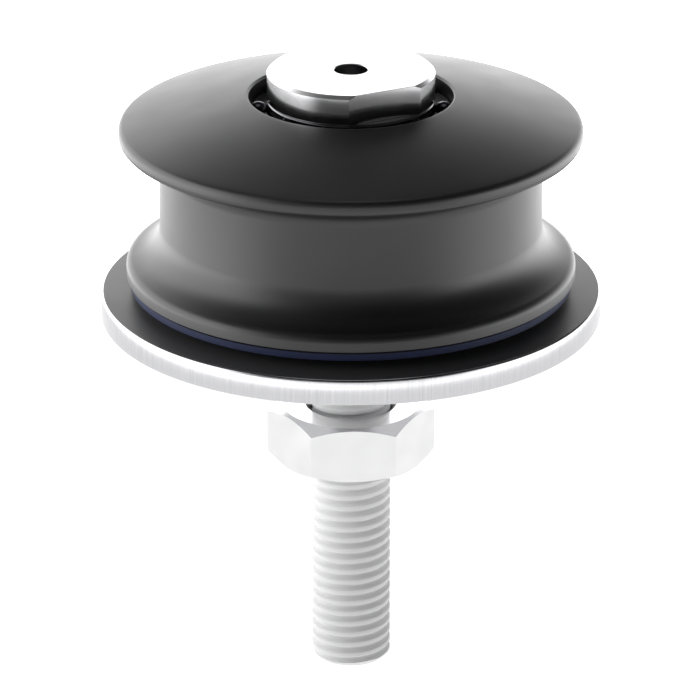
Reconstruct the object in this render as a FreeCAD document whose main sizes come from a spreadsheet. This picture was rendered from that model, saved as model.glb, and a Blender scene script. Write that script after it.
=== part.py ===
import FreeCAD, Part
import math
import os
import Sketcher

# Winch feeder block: a grooved sheave that turns on a deck-mounted spindle.
# The frame has +Z up along the spindle. The origin is on the axis, on the
# underside of the base plate, which is the face that lies on the deck.

doc = FreeCAD.newDocument("winch_feeder_block")
sheet = doc.addObject("Spreadsheet::Sheet", "sizes")

# Driving dimensions in millimetres, degrees and counts
SIZES = (
    ("tread_radius", "28.6"),
    ("lower_rim_depth", "5.1"),
    ("lower_rim_thickness", "3.1"),
    ("lower_rim_drop", "1.6"),
    ("lower_roll_share", "0.5"),
    ("lower_break_share", "0.18"),
    ("lower_rim_flat", "0.3"),
    ("rope_gap", "18.9"),
    ("upper_fillet", "3.0"),
    ("underside_drop", "1.6"),
    ("upper_rim_depth", "6.0"),
    ("upper_rim_thickness", "2.1"),
    ("upper_roll_share", "0.5"),
    ("dome_rise", "4.6"),
    ("dome_radius", "140.0"),
    ("lip_break", "0.4"),
    ("plate_margin", "3.8"),
    ("plate_thickness", "4.0"),
    ("plate_chamfer", "0.4"),
    ("plate_bore_clearance", "0.15"),
    ("flange_gap", "1.9"),
    ("stud_radius", "6.0"),
    ("stud_length", "56.6"),
    ("stud_chamfer", "0.9"),
    ("spanner_size", "22.0"),
    ("nut_height", "8.9"),
    ("nut_drop", "14.8"),
    ("nut_bore_clearance", "0.05"),
    ("nut_face_share", "0.95"),
    ("nut_chamfer_angle", "30.0"),
    ("nut_countersink", "0.6"),
    ("nut_turn", "2.0"),
    ("head_thickness", "4.5"),
    ("head_sink", "0.65"),
    ("head_chamfer", "0.5"),
    ("head_flat_depth", "1.5"),
    ("head_flat_turn", "27.0"),
    ("head_hole_radius", "2.5"),
    ("head_hole_depth", "8.0"),
    ("sleeve_bore_clearance", "0.1"),
    ("sleeve_wall", "2.9"),
    ("bush_wall", "2.5"),
    ("bush_running_clearance", "0.05"),
    ("bush_setback", "0.4"),
    ("race_setback", "0.1"),
    ("race_height", "4.6"),
    ("race_chamfer", "0.3"),
    ("race_depth", "0.35"),
    ("ball_radius", "1.75"),
    ("ball_count", "10"),
    ("ball_clearance", "0.05"),
    ("cage_pocket_clearance", "0.12"),
    ("cage_floor", "0.8"),
    ("cage_rise", "0.6"),
    ("cage_side_clearance", "0.2"),
    ("cage_foot_clearance", "0.3"),
    ("thrust_wall", "0.9"),
    ("washer_width", "7.0"),
    ("washer_thickness", "1.0"),
    ("washer_side_clearance", "0.2"),
    ("roller_radius", "1.5"),
    ("roller_end_margin", "1.0"),
    ("roller_count", "12"),
    ("roller_clearance", "0.04"),
    ("roller_window_clearance", "0.05"),
    ("roller_cage_thickness", "2.0"),
    ("roller_cage_setback", "0.3"),
    ("ring_land", "0.5"),
    ("ring_width", "3.6"),
    ("ring_seat_depth", "0.4"),
    ("ring_seat_clearance", "0.05"),
    ("ring_drop", "0.6"),
)
for row, (alias, text) in enumerate(SIZES, 1):
    sheet.set(f"A{row}", alias)
    sheet.set(f"B{row}", text)
    sheet.setAlias(f"B{row}", alias)
doc.recompute()

DEEP_ENOUGH = 1.0  # how far a cutting outline runs past the surface it cuts
ARC = "arc"
ROUND = "round"


def size(alias):
    """The expression that reads one driving dimension."""
    return f"sizes.{alias}"


def value(expression):
    """The number that an expression gives now."""
    return float(sheet.evalExpression(expression))


# Heights above the deck face, bottom to top
PLATE_TOP = size("plate_thickness")
SHEAVE_BASE = f"({PLATE_TOP} + {size('flange_gap')})"
LOWER_RIM_TOP = f"({SHEAVE_BASE} + {size('lower_rim_thickness')})"
UPPER_RIM_BASE = f"({LOWER_RIM_TOP} + {size('rope_gap')})"
UPPER_RIM_TOP = f"({UPPER_RIM_BASE} + {size('upper_rim_thickness')})"
LIP = f"({UPPER_RIM_TOP} + {size('dome_rise')})"
HEAD_SEAT = f"({LIP} - {size('head_sink')})"
RACE_BASE = f"({HEAD_SEAT} - {size('race_height')})"
BALL_LEVEL = f"({RACE_BASE} + {size('race_height')} / 2)"
POCKET_RADIUS = f"({size('ball_radius')} + {size('cage_pocket_clearance')})"
CAGE_BASE = f"({BALL_LEVEL} - {POCKET_RADIUS} - {size('cage_floor')})"
RECESS_FLOOR = f"({CAGE_BASE} - {size('cage_foot_clearance')})"
WASHER_TOP = f"({PLATE_TOP} + {size('washer_thickness')})"
ROLLER_LEVEL = f"({WASHER_TOP} + {size('roller_clearance')} + {size('roller_radius')})"
UPPER_WASHER_BASE = f"({ROLLER_LEVEL} + {size('roller_radius')} + {size('roller_clearance')})"
THRUST_ROOF = f"({UPPER_WASHER_BASE} + {size('washer_thickness')})"

# Radii of the rims and of the plate below them
LOWER_RIM = f"({size('tread_radius')} + {size('lower_rim_depth')})"
UPPER_RIM = f"({size('tread_radius')} + {size('upper_rim_depth')})"
PLATE_RADIUS = f"({LOWER_RIM} + {size('plate_margin')})"
LOWER_LIP = f"({size('lower_rim_thickness')} - {size('ring_seat_depth')})"
LOWER_ROLL = f"({LOWER_LIP} * {size('lower_roll_share')})"
LOWER_BREAK = f"({LOWER_LIP} * {size('lower_break_share')})"
LOWER_SLOPE = f"atan({size('lower_rim_drop')} / {size('lower_rim_depth')})"
LOWER_TURN = f"tan((90 deg + {LOWER_SLOPE}) / 2)"
LOWER_SLANT = f"({size('lower_rim_depth')} / cos({LOWER_SLOPE}) - {size('lower_rim_flat')})"
LOWER_FILLET = f"({LOWER_SLANT} * {LOWER_TURN} - {LOWER_ROLL})"
UPPER_ROLL = f"({size('upper_rim_thickness')} * {size('upper_roll_share')})"

# Radii of the head and of what sits inside the sheave, each from what it fits round
HEAD_RADIUS = f"({size('spanner_size')} / 2 + {size('head_flat_depth')})"
SHANK_BORE = f"({size('stud_radius')} + {size('sleeve_bore_clearance')})"
SLEEVE_RADIUS = f"({SHANK_BORE} + {size('sleeve_wall')})"
BUSH_INNER = f"({SLEEVE_RADIUS} + {size('bush_running_clearance')})"
BUSH_OUTER = f"({BUSH_INNER} + {size('bush_wall')})"
RACE_RADIUS = f"({HEAD_RADIUS} - {size('race_setback')})"
BALL_PITCH = f"({RACE_RADIUS} + {size('ball_radius')} - {size('race_depth')})"
RECESS_RADIUS = f"({BALL_PITCH} + {size('ball_radius')} - {size('race_depth')})"
GROOVE_RADIUS = f"({size('ball_radius')} + {size('ball_clearance')})"
CAGE_INNER = f"({RACE_RADIUS} + {size('cage_side_clearance')})"
CAGE_OUTER = f"({RECESS_RADIUS} - {size('cage_side_clearance')})"
THRUST_OUTER = f"({size('tread_radius')} - {size('thrust_wall')})"
WASHER_OUTER = f"({THRUST_OUTER} - {size('washer_side_clearance')})"
WASHER_INNER = f"({WASHER_OUTER} - {size('washer_width')})"
THRUST_INNER = f"({WASHER_INNER} - {size('washer_side_clearance')})"
THRUST_PITCH = f"(({WASHER_INNER} + {WASHER_OUTER}) / 2)"
ROLLER_LENGTH = f"({size('washer_width')} - 2 * {size('roller_end_margin')})"
RING_OUTER = f"({LOWER_RIM} - {size('ring_land')})"
RING_INNER = f"({RING_OUTER} - {size('ring_width')})"


def new_body(label, seat="0"):
    """A body for one physical piece, modelled from its own foot and placed at its seat."""
    body = doc.addObject("PartDesign::Body", label)
    body.Label = label
    if seat != "0":
        body.setExpression("Placement.Base.z", seat)
    return body


def new_sketch(body, name, plane):
    """A sketch on one of the body's own origin planes."""
    sketch = body.newObject("Sketcher::SketchObject", name)
    support = [f for f in body.Origin.OriginFeatures if f.Role == plane][0]
    sketch.AttachmentSupport = (support, [""])
    sketch.MapMode = "FlatFace"
    return sketch


def pin_point(sketch, edge, end, x, y):
    """Holds a point of the sketch at two expressions, or on an axis where one is 0."""
    for kind, axis, place in (("DistanceX", -2, x), ("DistanceY", -1, y)):
        if place == "0":
            sketch.addConstraint(Sketcher.Constraint("PointOnObject", edge, end, axis))
            continue
        held = Sketcher.Constraint(kind, -1, 1, edge, end, value(place))
        number = sketch.addConstraint(held)
        sketch.setExpression(f"Constraints[{number}]", place)


def arc_between(a, b, radius):
    """The arc of a radius from a to b whose centre lies on the left of that way."""
    way = b - a
    half = way.Length / 2
    left = FreeCAD.Vector(-way.y, way.x, 0).normalize()
    centre = (a + b) / 2 + left * math.sqrt(radius * radius - half * half)
    circle = Part.Circle(centre, FreeCAD.Vector(0, 0, 1), radius)
    start = math.atan2(a.y - centre.y, a.x - centre.x)
    stop = math.atan2(b.y - centre.y, b.x - centre.x)
    return Part.ArcOfCircle(circle, start, stop)


def hold_radius(sketch, edge, radius):
    """Ties an arc's or a circle's radius to an expression."""
    number = sketch.addConstraint(Sketcher.Constraint("Radius", edge, value(radius)))
    sketch.setExpression(f"Constraints[{number}]", radius)


def outline(sketch, corners):
    """A closed loop through corners (x, y), each held by expressions. A corner that goes
    on with ARC and a radius is reached along an arc, and one that goes on with ROUND and
    a radius is rounded off."""
    points = [FreeCAD.Vector(value(c[0]), value(c[1]), 0) for c in corners]
    edges = []
    for number, corner in enumerate(corners):
        a, b = points[number - 1], points[number]
        if corner[2:3] == (ARC,):
            edge = sketch.addGeometry(arc_between(a, b, value(corner[3])), False)
            hold_radius(sketch, edge, corner[3])
        else:
            edge = sketch.addGeometry(Part.LineSegment(a, b), False)
        edges.append(edge)
    for number, corner in enumerate(corners):
        after = edges[(number + 1) % len(corners)]
        sketch.addConstraint(Sketcher.Constraint("Coincident", edges[number], 2, after, 1))
        pin_point(sketch, edges[number], 2, corner[0], corner[1])
    for number, corner in enumerate(corners):
        if corner[2:3] != (ROUND,):
            continue
        edge, after = edges[number], edges[(number + 1) % len(corners)]
        before_it, past_it = points[number - 1], points[(number + 1) % len(corners)]
        nearby = [points[number] + (p - points[number]).normalize() * value(corner[3]) / 2
                  for p in (before_it, past_it)]
        sketch.fillet(edge, after, nearby[0], nearby[1], value(corner[3]), True, True)
        arcs = [n for n, g in enumerate(sketch.Geometry) if isinstance(g, Part.ArcOfCircle)]
        hold_radius(sketch, arcs[-1], corner[3])


def circle_in(sketch, x, y, radius):
    """A circle whose centre and radius are held by expressions."""
    centre = FreeCAD.Vector(value(x), value(y), 0)
    ring = Part.Circle(centre, FreeCAD.Vector(0, 0, 1), value(radius))
    edge = sketch.addGeometry(ring, False)
    pin_point(sketch, edge, 3, x, y)
    hold_radius(sketch, edge, radius)


def rectangle_corners(x_low, x_high, y_low, y_high):
    """The corners of an upright rectangle, for outline."""
    return [(x_low, y_low), (x_high, y_low), (x_high, y_high), (x_low, y_high)]


def turned(body, name, corners):
    """The solid that a half section (radius, height) makes when it turns about Z."""
    sketch = new_sketch(body, f"{name}_section", "XZ_Plane")
    outline(sketch, corners)
    solid = body.newObject("PartDesign::Revolution", name)
    solid.Profile = sketch
    solid.ReferenceAxis = (sketch, ["V_Axis"])
    solid.Angle = 360
    doc.recompute()
    return solid


def must_shrink(body, before, name):
    """A cut that leaves the volume as it was has missed the solid."""
    if body.Shape.Volume > before - 1e-3:
        raise RuntimeError(f"{name} cuts nothing from {body.Label}")


def turned_cut(body, name, draw):
    """Cuts the ring that a half section, drawn by draw(sketch), makes about Z."""
    before = body.Shape.Volume
    sketch = new_sketch(body, f"{name}_section", "XZ_Plane")
    draw(sketch)
    groove = body.newObject("PartDesign::Groove", name)
    groove.Profile = sketch
    groove.ReferenceAxis = (sketch, ["V_Axis"])
    groove.Angle = 360
    doc.recompute()
    must_shrink(body, before, name)
    return groove


def raised(body, name, height, draw):
    """Pads an outline that draw(sketch) makes, from the body's foot upwards."""
    sketch = new_sketch(body, f"{name}_outline", "XY_Plane")
    draw(sketch)
    pad = body.newObject("PartDesign::Pad", name)
    pad.Profile = sketch
    pad.setExpression("Length", height)
    doc.recompute()
    return pad


def cut_through(body, name, draw):
    """Pockets an outline on the body's foot plane through everything above it."""
    before = body.Shape.Volume
    sketch = new_sketch(body, f"{name}_outline", "XY_Plane")
    draw(sketch)
    pocket = body.newObject("PartDesign::Pocket", name)
    pocket.Profile = sketch
    pocket.Type = "ThroughAll"
    pocket.Reversed = True
    doc.recompute()
    must_shrink(body, before, name)
    return pocket


def repeated(body, name, feature, count):
    """The same cut all the way round the Z axis, count times."""
    pattern = body.newObject("PartDesign::PolarPattern", name)
    pattern.Originals = [feature]
    axis = [f for f in body.Origin.OriginFeatures if f.Role == "Z_Axis"][0]
    pattern.Axis = (axis, [""])
    pattern.Angle = 360
    pattern.setExpression("Occurrences", count)
    body.Tip = pattern
    doc.recompute()
    return pattern


def round_edges(body, radius, height):
    """Names of the body's circular edges of one radius about Z at one height."""
    names = []
    for number, edge in enumerate(body.Tip.Shape.Edges, 1):
        curve = edge.Curve
        if not isinstance(curve, Part.Circle):
            continue
        level = curve.Center.z
        if abs(curve.Radius - value(radius)) > 1e-4 or abs(level - value(height)) > 1e-4:
            continue
        if abs(abs(curve.Axis.z) - 1) < 1e-6:
            names.append(f"Edge{number}")
    if not names:
        raise RuntimeError(f"{body.Label} has no edge of radius {radius} at {height}")
    return names


def dressed(body, kind, name, amount, places):
    """A Fillet or Chamfer on the edges at places, a list of (radius, height)."""
    base = body.Tip
    names = []
    for radius, height in places:
        names += round_edges(body, radius, height)
    dress = body.newObject(f"PartDesign::{kind}", name)
    dress.Base = (base, names)
    dress.setExpression("Radius" if kind == "Fillet" else "Size", amount)
    doc.recompute()
    return dress


def make_base_plate():
    """The polished disc that the sheave runs over and that lies on the deck."""
    body = new_body("base_plate")
    raised(body, "plate_disc", PLATE_TOP, lambda s: circle_in(s, "0", "0", PLATE_RADIUS))
    bore = f"({size('stud_radius')} + {size('plate_bore_clearance')})"
    cut_through(body, "spindle_bore", lambda s: circle_in(s, "0", "0", bore))
    dressed(body, "Chamfer", "edge_break", size("plate_chamfer"),
            [(PLATE_RADIUS, "0"), (PLATE_RADIUS, PLATE_TOP)])


def make_spindle():
    """Head, shank and stud in one piece: the head has two spanner flats and a hole."""
    foot = f"(0 - {size('stud_length')})"
    body = new_body("spindle", foot)
    seat = f"({HEAD_SEAT} - {foot})"
    top = f"({seat} + {size('head_thickness')})"
    stud = size("stud_radius")
    turned(body, "spindle_turning", [
        ("0", "0"),
        (f"({stud} - {size('stud_chamfer')})", "0"),
        (stud, size("stud_chamfer")),
        (stud, seat),
        (HEAD_RADIUS, seat),
        (HEAD_RADIUS, f"({top} - {size('head_chamfer')})"),
        (f"({HEAD_RADIUS} - {size('head_chamfer')})", top),
        ("0", top),
    ])
    before = body.Shape.Volume
    sketch = new_sketch(body, "flats_outline", "XY_Plane")
    sketch.setExpression("AttachmentOffset.Base.z", top)
    sketch.AttachmentOffset.Rotation = FreeCAD.Rotation(FreeCAD.Vector(0, 0, 1), 1)
    sketch.setExpression("AttachmentOffset.Rotation.Angle", size("head_flat_turn"))
    flat = f"({size('spanner_size')} / 2)"
    past = f"({HEAD_RADIUS} + {DEEP_ENOUGH})"
    outline(sketch, rectangle_corners(f"(0 - {past})", past, flat, past))
    outline(sketch, rectangle_corners(f"(0 - {past})", past, f"(0 - {past})", f"(0 - {flat})"))
    flats = body.newObject("PartDesign::Pocket", "spanner_flats")
    flats.Profile = sketch
    flats.setExpression("Length", size("head_thickness"))
    doc.recompute()
    must_shrink(body, before, "spanner_flats")
    before = body.Shape.Volume
    place = new_sketch(body, "hole_place", "XY_Plane")
    place.setExpression("AttachmentOffset.Base.z", top)
    circle_in(place, "0", "0", size("head_hole_radius"))
    doc.recompute()
    hole = body.newObject("PartDesign::Hole", "head_hole")
    hole.Profile = place
    hole.DepthType = "Dimension"
    hole.setExpression("Diameter", f"2 * {size('head_hole_radius')}")
    hole.setExpression("Depth", size("head_hole_depth"))
    hole.DrillPoint = "Angled"
    doc.recompute()
    must_shrink(body, before, "head_hole")


def make_sheave():
    """The one-piece turned sheave: lower flange, tread, domed top flange, bore, the
    recess round the head with its ball race, and the seats on the underside."""
    body = new_body("sheave", SHEAVE_BASE)

    def above_foot(level):
        return f"({level} - {SHEAVE_BASE})"

    tread = size("tread_radius")
    low_top = size("lower_rim_thickness")
    high_base, high_top = above_foot(UPPER_RIM_BASE), above_foot(UPPER_RIM_TOP)
    low_root = f"({low_top} + {size('lower_rim_drop')})"
    root = f"({high_base} - {size('underside_drop')})"
    seat_inner = f"({RING_INNER} - {size('ring_seat_clearance')})"
    seat_roof = size("ring_seat_depth")
    turned(body, "sheave_turning", [
        (BUSH_OUTER, "0"),
        (THRUST_INNER, "0"),
        (THRUST_INNER, above_foot(THRUST_ROOF)),
        (THRUST_OUTER, above_foot(THRUST_ROOF)),
        (THRUST_OUTER, "0"),
        (seat_inner, "0"),
        (seat_inner, seat_roof),
        (LOWER_RIM, seat_roof),
        (LOWER_RIM, low_top, ROUND, LOWER_ROLL),
        (tread, low_root, ROUND, LOWER_FILLET),
        (tread, root, ROUND, size("upper_fillet")),
        (UPPER_RIM, high_base, ROUND, UPPER_ROLL),
        (UPPER_RIM, high_top, ROUND, UPPER_ROLL),
        (RECESS_RADIUS, above_foot(LIP), ARC, size("dome_radius")),
        (RECESS_RADIUS, above_foot(RECESS_FLOOR)),
        (BUSH_OUTER, above_foot(RECESS_FLOOR)),
    ])
    ball_level = above_foot(BALL_LEVEL)
    turned_cut(body, "outer_race", lambda s: circle_in(s, BALL_PITCH, ball_level, GROOVE_RADIUS))
    dressed(body, "Chamfer", "lower_rim_break", LOWER_BREAK, [(LOWER_RIM, seat_roof)])
    dressed(body, "Chamfer", "lip_edge_break", size("lip_break"), [(RECESS_RADIUS, above_foot(LIP))])


def make_wear_ring():
    """The thin blue ring that sits round the spigot under the lower flange."""
    top = f"({SHEAVE_BASE} + {size('ring_seat_depth')})"
    height = f"({size('ring_seat_depth')} + {size('ring_drop')})"
    body = new_body("wear_ring", f"({top} - {height})")
    turned(body, "ring_turning", rectangle_corners(RING_INNER, RING_OUTER, "0", height))


def make_plain_ring(label, seat, inner, outer, height, chamfer=None):
    """A flat washer, sleeve or bush, with its outer edges broken where chamfer is given."""
    body = new_body(label, seat)
    turned(body, f"{label}_turning", rectangle_corners(inner, outer, "0", height))
    if chamfer:
        dressed(body, "Chamfer", f"{label}_edge_break", chamfer, [(outer, "0"), (outer, height)])
    return body


def make_core():
    """What stands still inside the sheave, and the bush that is pressed into its bore."""
    make_plain_ring("inner_sleeve", PLATE_TOP, SHANK_BORE, SLEEVE_RADIUS, f"({RACE_BASE} - {PLATE_TOP})")
    setback = size("bush_setback")
    make_plain_ring("sleeve_bearing", f"({SHEAVE_BASE} + {setback})", BUSH_INNER, BUSH_OUTER,
                    f"({RECESS_FLOOR} - {SHEAVE_BASE} - 2 * {setback})")
    race = make_plain_ring("inner_race", RACE_BASE, SHANK_BORE, RACE_RADIUS,
                           size("race_height"), size("race_chamfer"))
    middle = f"({size('race_height')} / 2)"
    turned_cut(race, "ball_groove", lambda s: circle_in(s, BALL_PITCH, middle, GROOVE_RADIUS))


def make_ball_cage():
    """The crown cage: a ring whose fingers stand up between the balls."""
    body = new_body("ball_cage", CAGE_BASE)
    height = f"({BALL_LEVEL} - {CAGE_BASE} + {size('cage_rise')})"
    turned(body, "cage_turning", rectangle_corners(CAGE_INNER, CAGE_OUTER, "0", height))
    before = body.Shape.Volume
    sketch = new_sketch(body, "pocket_place", "XY_Plane")
    sketch.setExpression("AttachmentOffset.Base.z", height)
    circle_in(sketch, BALL_PITCH, "0", POCKET_RADIUS)
    pocket = body.newObject("PartDesign::Pocket", "ball_pocket")
    pocket.Profile = sketch
    pocket.setExpression("Length", f"{height} - {size('cage_floor')}")
    doc.recompute()
    must_shrink(body, before, "ball_pocket")
    repeated(body, "ball_pockets", pocket, size("ball_count"))


def make_balls():
    """The balls of the upper bearing, evenly spaced in the cage."""
    for number in range(int(value(size("ball_count")))):
        ball = doc.addObject("Part::Sphere", f"ball_{number + 1:02d}")
        ball.Label = f"ball_{number + 1:02d}"
        ball.setExpression("Radius", size("ball_radius"))
        turn = f"({number} * 360 deg / {size('ball_count')})"
        ball.setExpression("Placement.Base.x", f"{BALL_PITCH} * cos({turn})")
        ball.setExpression("Placement.Base.y", f"{BALL_PITCH} * sin({turn})")
        ball.setExpression("Placement.Base.z", BALL_LEVEL)


def make_thrust_bearing():
    """Two washers with a ring of rollers between them, which carries the sheave's weight."""
    thickness = size("washer_thickness")
    make_plain_ring("lower_thrust_washer", PLATE_TOP, WASHER_INNER, WASHER_OUTER, thickness)
    make_plain_ring("upper_thrust_washer", UPPER_WASHER_BASE, WASHER_INNER, WASHER_OUTER, thickness)
    tall = size("roller_cage_thickness")
    setback = size("roller_cage_setback")
    cage = make_plain_ring("roller_cage", f"({ROLLER_LEVEL} - {tall} / 2)",
                           f"({WASHER_INNER} + {setback})", f"({WASHER_OUTER} - {setback})", tall)
    room = size("roller_window_clearance")
    reach = f"({ROLLER_LENGTH} / 2 + {room})"
    wide = f"({size('roller_radius')} + {room})"
    window = cut_through(cage, "roller_window", lambda s: outline(s, rectangle_corners(
        f"({THRUST_PITCH} - {reach})", f"({THRUST_PITCH} + {reach})", f"(0 - {wide})", wide)))
    repeated(cage, "roller_windows", window, size("roller_count"))


def make_rollers():
    """The thrust rollers, each lying on a radius of the sheave."""
    inner_end = f"({THRUST_PITCH} - {ROLLER_LENGTH} / 2)"
    for number in range(int(value(size("roller_count")))):
        roller = doc.addObject("Part::Cylinder", f"roller_{number + 1:02d}")
        roller.Label = f"roller_{number + 1:02d}"
        roller.setExpression("Radius", size("roller_radius"))
        roller.setExpression("Height", ROLLER_LENGTH)
        turn = f"({number} * 360 deg / {size('roller_count')})"
        angle = math.radians(number * 360 / value(size("roller_count")))
        outward = FreeCAD.Vector(math.cos(angle), math.sin(angle), 0)
        roller.Placement.Rotation = FreeCAD.Rotation(FreeCAD.Vector(0, 0, 1), outward)
        roller.setExpression("Placement.Base.x", f"{inner_end} * cos({turn})")
        roller.setExpression("Placement.Base.y", f"{inner_end} * sin({turn})")
        roller.setExpression("Placement.Base.z", ROLLER_LEVEL)


def make_hex_nut():
    """The nut that clamps the deck: a hexagon, chamfered on both faces."""
    height = size("nut_height")
    body = new_body("hex_nut", f"(0 - {size('nut_drop')} - {height})")
    flat = f"({size('spanner_size')} / 2)"
    corner = f"({flat} / cos(30 deg))"

    def hexagon(sketch):
        half = f"({corner} / 2)"
        sketch.AttachmentOffset.Rotation = FreeCAD.Rotation(FreeCAD.Vector(0, 0, 1), 1)
        sketch.setExpression("AttachmentOffset.Rotation.Angle", size("nut_turn"))
        outline(sketch, [
            (corner, "0"),
            (half, flat),
            (f"(0 - {half})", flat),
            (f"(0 - {corner})", "0"),
            (f"(0 - {half})", f"(0 - {flat})"),
            (half, f"(0 - {flat})"),
        ])

    raised(body, "nut_blank", height, hexagon)
    bore = f"({size('stud_radius')} + {size('nut_bore_clearance')})"
    cut_through(body, "nut_bore", lambda s: circle_in(s, "0", "0", bore))
    dressed(body, "Chamfer", "bore_countersink", size("nut_countersink"), [(bore, "0"), (bore, height)])
    face = f"({size('nut_face_share')} * {flat})"
    past = f"({corner} + {DEEP_ENOUGH})"
    drop = f"(({past} - {face}) * tan({size('nut_chamfer_angle')} * 1 deg))"

    def both_chamfers(sketch):
        outline(sketch, [(face, "0"), (past, "0"), (past, drop)])
        outline(sketch, [(face, height), (past, f"({height} - {drop})"), (past, height)])

    turned_cut(body, "corner_chamfers", both_chamfers)


make_base_plate()
make_spindle()
make_core()
make_sheave()
make_wear_ring()
make_ball_cage()
make_balls()
make_thrust_bearing()
make_rollers()
make_hex_nut()
doc.recompute()

# Every object must be sound before anything is written
for thing in doc.Objects:
    if "Invalid" in thing.State or "Error" in thing.State:
        raise RuntimeError(f"{thing.Label} failed: {thing.State}")
pieces = [t for t in doc.Objects if t.TypeId in ("PartDesign::Body", "Part::Sphere", "Part::Cylinder")]
for piece in pieces:
    if piece.Shape.isNull() or not piece.Shape.isValid() or len(piece.Shape.Solids) != 1:
        raise RuntimeError(f"{piece.Label} is not one valid solid")

os.makedirs("parts", exist_ok=True)
for piece in pieces:
    piece.Shape.exportStep(f"parts/{piece.Label}.step")
    box = piece.Shape.BoundBox
    print(f"{piece.Label}: {piece.Shape.Volume:.1f} mm3, z {box.ZMin:.2f} to {box.ZMax:.2f}")
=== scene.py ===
import math

import bmesh
import bpy
from mathutils import Matrix, Vector


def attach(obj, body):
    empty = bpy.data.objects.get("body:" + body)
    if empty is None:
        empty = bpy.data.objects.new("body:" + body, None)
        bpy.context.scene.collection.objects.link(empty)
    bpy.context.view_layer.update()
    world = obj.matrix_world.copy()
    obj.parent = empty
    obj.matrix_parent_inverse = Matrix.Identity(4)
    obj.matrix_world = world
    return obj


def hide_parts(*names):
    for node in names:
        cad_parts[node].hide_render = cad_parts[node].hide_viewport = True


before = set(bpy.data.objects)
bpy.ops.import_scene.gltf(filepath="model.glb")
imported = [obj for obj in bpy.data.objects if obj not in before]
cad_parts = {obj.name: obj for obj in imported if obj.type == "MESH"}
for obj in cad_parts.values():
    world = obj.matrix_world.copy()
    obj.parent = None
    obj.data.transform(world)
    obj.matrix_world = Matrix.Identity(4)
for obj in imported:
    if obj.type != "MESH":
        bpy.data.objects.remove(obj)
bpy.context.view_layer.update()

MM, TO_MM = 0.001, 1000
TAU = 2 * math.pi

# Driving sizes in millimetres and degrees, as the solids have them
TREAD_RADIUS, ROPE_GAP = 28.6, 18.9
LOWER_RIM_DEPTH, LOWER_RIM_THICKNESS, LOWER_RIM_DROP, LOWER_RIM_FLAT = 5.1, 3.1, 1.6, 0.3
LOWER_ROLL_SHARE, LOWER_BREAK_SHARE = 0.5, 0.18
UPPER_RIM_DEPTH, UPPER_RIM_THICKNESS, UPPER_ROLL_SHARE = 6.0, 2.1, 0.5
UPPER_FILLET, UNDERSIDE_DROP, DOME_RISE, DOME_RADIUS = 3.0, 1.6, 4.6, 140.0
PLATE_THICKNESS, PLATE_MARGIN, PLATE_EDGE, FLANGE_GAP = 4.0, 3.8, 0.4, 1.9
STUD_RADIUS, STUD_END, STUD_CHAMFER = 6.0, -56.6, 0.9
PLATE_BORE_GAP, NUT_BORE_GAP, SPANNER_SIZE = 0.15, 0.05, 22.0
HEAD_SINK, HEAD_THICKNESS, HEAD_CHAMFER, HEAD_FLAT_DEPTH, HEAD_TURN = 0.65, 4.5, 0.5, 1.5, 27.0
HOLE_RADIUS, HOLE_DEPTH, HOLE_POINT = 2.5, 8.0, 1.5
NUT_TOP, NUT_HEIGHT, NUT_FACE_SHARE, NUT_SLOPE, NUT_TURN = -14.8, 8.9, 0.95, 30.0, 2.0

# The seats of what sits inside the sheave: radii, and heights above the deck face
BUSH_OUTER, RECESS_RADIUS, RECESS_FLOOR = 11.55, 15.2, 28.68
THRUST_INNER, THRUST_OUTER, THRUST_ROOF = 20.3, 27.7, 9.08
RING_SEAT_INNER, RING_SEAT_DEPTH = 29.55, 0.4

# Heights above the deck face
SHEAVE_FOOT = PLATE_THICKNESS + FLANGE_GAP
RING_SEAT_ROOF = SHEAVE_FOOT + RING_SEAT_DEPTH
LOWER_RIM_TOP = SHEAVE_FOOT + LOWER_RIM_THICKNESS
LOWER_ROOT = LOWER_RIM_TOP + LOWER_RIM_DROP
UPPER_RIM_BASE = LOWER_RIM_TOP + ROPE_GAP
UPPER_RIM_TOP = UPPER_RIM_BASE + UPPER_RIM_THICKNESS
LIP = UPPER_RIM_TOP + DOME_RISE
HEAD_SEAT = LIP - HEAD_SINK
HEAD_TOP = HEAD_SEAT + HEAD_THICKNESS
HOLE_FLOOR = HEAD_TOP - HOLE_DEPTH
HOLE_TIP = HOLE_FLOOR - HOLE_POINT
NUT_BASE = NUT_TOP - NUT_HEIGHT

# Radii, rolls and fillets
LOWER_RIM = TREAD_RADIUS + LOWER_RIM_DEPTH
UPPER_RIM = TREAD_RADIUS + UPPER_RIM_DEPTH
PLATE_RADIUS = LOWER_RIM + PLATE_MARGIN
PLATE_BORE = STUD_RADIUS + PLATE_BORE_GAP
NUT_BORE = STUD_RADIUS + NUT_BORE_GAP
FLAT_DISTANCE = SPANNER_SIZE / 2
HEAD_RADIUS = FLAT_DISTANCE + HEAD_FLAT_DEPTH
NUT_FACE = FLAT_DISTANCE * NUT_FACE_SHARE
NUT_CORNER = FLAT_DISTANCE / math.cos(math.radians(30))
UPPER_ROLL = UPPER_RIM_THICKNESS * UPPER_ROLL_SHARE
LOWER_LIP = LOWER_RIM_THICKNESS - RING_SEAT_DEPTH
LOWER_ROLL = LOWER_LIP * LOWER_ROLL_SHARE
LOWER_BREAK = LOWER_LIP * LOWER_BREAK_SHARE
LOWER_SLOPE = math.atan(LOWER_RIM_DROP / LOWER_RIM_DEPTH)
LOWER_SLANT = LOWER_RIM_DEPTH / math.cos(LOWER_SLOPE) - LOWER_RIM_FLAT
LOWER_FILLET = LOWER_SLANT * math.tan((math.pi / 2 + LOWER_SLOPE) / 2) - LOWER_ROLL

# Sizes in millimetres that only the shown pieces have
LIP_ROLL, NUT_COUNTERSINK, SMALL_BREAK = 0.35, 0.9, 0.12
THREAD_PITCH, THREAD_DEPTH, THREAD_TOP, THREAD_RUN_OUT = 1.75, 0.95, -0.6, 2.5

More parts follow.
